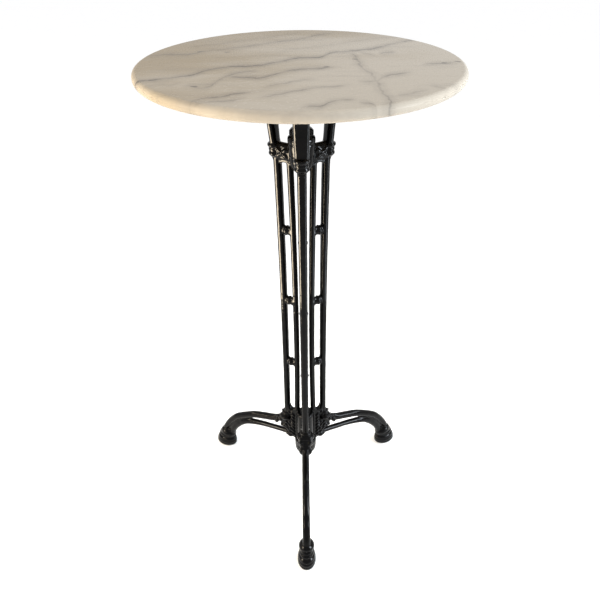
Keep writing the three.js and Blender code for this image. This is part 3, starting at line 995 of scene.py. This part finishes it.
iron = rough_iron()
for seed, (leg, angle) in enumerate(LEG_ANGLES.items(), 1):
    casting_node = "leg_casting_" + leg
    casting = leg_casting(iron, casting_node, angle, seed)
    fit(casting, casting_node, 50)
    fit(washer_like("marble_cushion_" + leg, 0.8, 4), "marble_cushion_" + leg)
    fit(washer_like("screw_washer_" + leg, 0.3, 3 + GAP), "screw_washer_" + leg)
    fit(marble_insert("marble_insert_" + leg), "marble_insert_" + leg)
    fit(marble_screw("marble_screw_" + leg), "marble_screw_" + leg)
    fit(floor_pad("floor_pad_" + leg), "floor_pad_" + leg)
    fit(floor_pad_screw("floor_pad_screw_" + leg), "floor_pad_screw_" + leg)
iron_shape = iron.data
bpy.data.objects.remove(iron)
bpy.data.meshes.remove(iron_shape)

# ---------- floor, light and camera ----------


def lay_floor():
    bm = bmesh.new()
    add_turned(bm, [(0, -1), (40000, -1), (40000, -30), (0, -30)], 96)
    floor = thing_from(shape_from(bm, "floor"))
    floor.data.materials.append(backdrop())


def aim(thing, target):
    direction = Vector(target) - thing.location
    thing.rotation_euler = direction.to_track_quat("-Z", "Y").to_euler()


def soft_light(name, place, target, width, height, watts, colour, spread=180):
    lamp = bpy.data.lights.new(name, "AREA")
    lamp.shape = "RECTANGLE"
    lamp.size = width
    lamp.size_y = height
    lamp.energy = watts
    lamp.color = colour
    lamp.spread = math.radians(spread)
    light = bpy.data.objects.new(name, lamp)
    bpy.context.scene.collection.objects.link(light)
    light.location = place
    aim(light, target)


def light_studio():
    world = bpy.data.worlds.new("studio")
    bpy.context.scene.world = world
    world.use_nodes = True
    sky = world.node_tree.nodes["Background"]
    sky.inputs["Color"].default_value = (0.99, 0.99, 1.0, 1)
    sky.inputs["Strength"].default_value = 1.09
    middle = (0, 0, 0.95)
    upper_bars = (0, 0, 0.79)
    feet = (0, -0.12, 0.10)
    warm = (1.0, 0.84, 0.62)
    cool = (0.84, 0.92, 1.0)
    # places and sizes in metres, then power in watts, colour and spread in degrees
    soft_light("left_strip", (-2.3, -0.9, 1.25), middle, 0.3, 1.2, 22, (1.0, 0.88, 0.70), 90)
    soft_light("right_box", (2.3, -0.8, 1.25), middle, 0.6, 1.2, 27, (0.88, 0.94, 1.0), 90)
    soft_light("left_high", (-1.3, -0.3, 2.5), middle, 0.12, 1.2, 7, (1.0, 0.90, 0.76))
    soft_light("right_high", (1.4, 0.1, 2.5), middle, 0.2, 1.2, 9, (0.90, 0.95, 1.0))
    # low narrow beams give the upright bars their bright lines
    soft_light("left_line", (-0.84, -0.36, 0.35), upper_bars, 0.55, 0.62, 6, warm, 45)
    soft_light("right_line", (0.84, -0.36, 0.35), upper_bars, 0.2, 0.62, 0.4, cool, 45)
    # long rails at both sides and two low lamps put lines and sparkles on the feet
    soft_light("left_rail", (-1.25, 0, 0.7), feet, 2.0, 0.08, 1.8, warm, 60)
    soft_light("right_rail", (1.25, 0, 0.7), feet, 2.0, 0.08, 2.8, cool, 60)
    soft_light("left_low", (-0.9, -0.62, 0.2), (-0.1, 0.06, 0.15), 0.4, 0.05, 0.4, warm, 40)
    soft_light("right_low", (0.9, -0.62, 0.2), (0.1, 0.06, 0.15), 0.4, 0.05, 0.25, cool, 40)


def place_camera():
    """The camera stands in front of the table, a little above it, and looks down at it."""
    pitch, yaw, roll = 0.5855452, 0.0124012, -0.0046733
    forward = Vector((
        math.sin(yaw) * math.cos(pitch), math.cos(yaw) * math.cos(pitch), -math.sin(pitch),
    ))
    level = Vector((math.cos(yaw), -math.sin(yaw), 0))
    upward = level.cross(forward)
    right = math.cos(roll) * level + math.sin(roll) * upward
    top = math.cos(roll) * upward - math.sin(roll) * level
    lens = bpy.data.cameras.new("camera")
    lens.sensor_width = 36
    lens.lens = 37.878
    lens.shift_x = -0.02026
    lens.clip_start = 0.05
    lens.clip_end = 200
    camera = bpy.data.objects.new("camera", lens)
    bpy.context.scene.collection.objects.link(camera)
    turn = Matrix((right, top, -forward)).transposed().to_4x4()
    camera.matrix_world = Matrix.Translation((0.00449, -1.19256, 1.37222)) @ turn
    bpy.context.scene.camera = camera


lay_floor()
light_studio()
place_camera()
bpy.context.scene.view_settings.view_transform = "Standard"
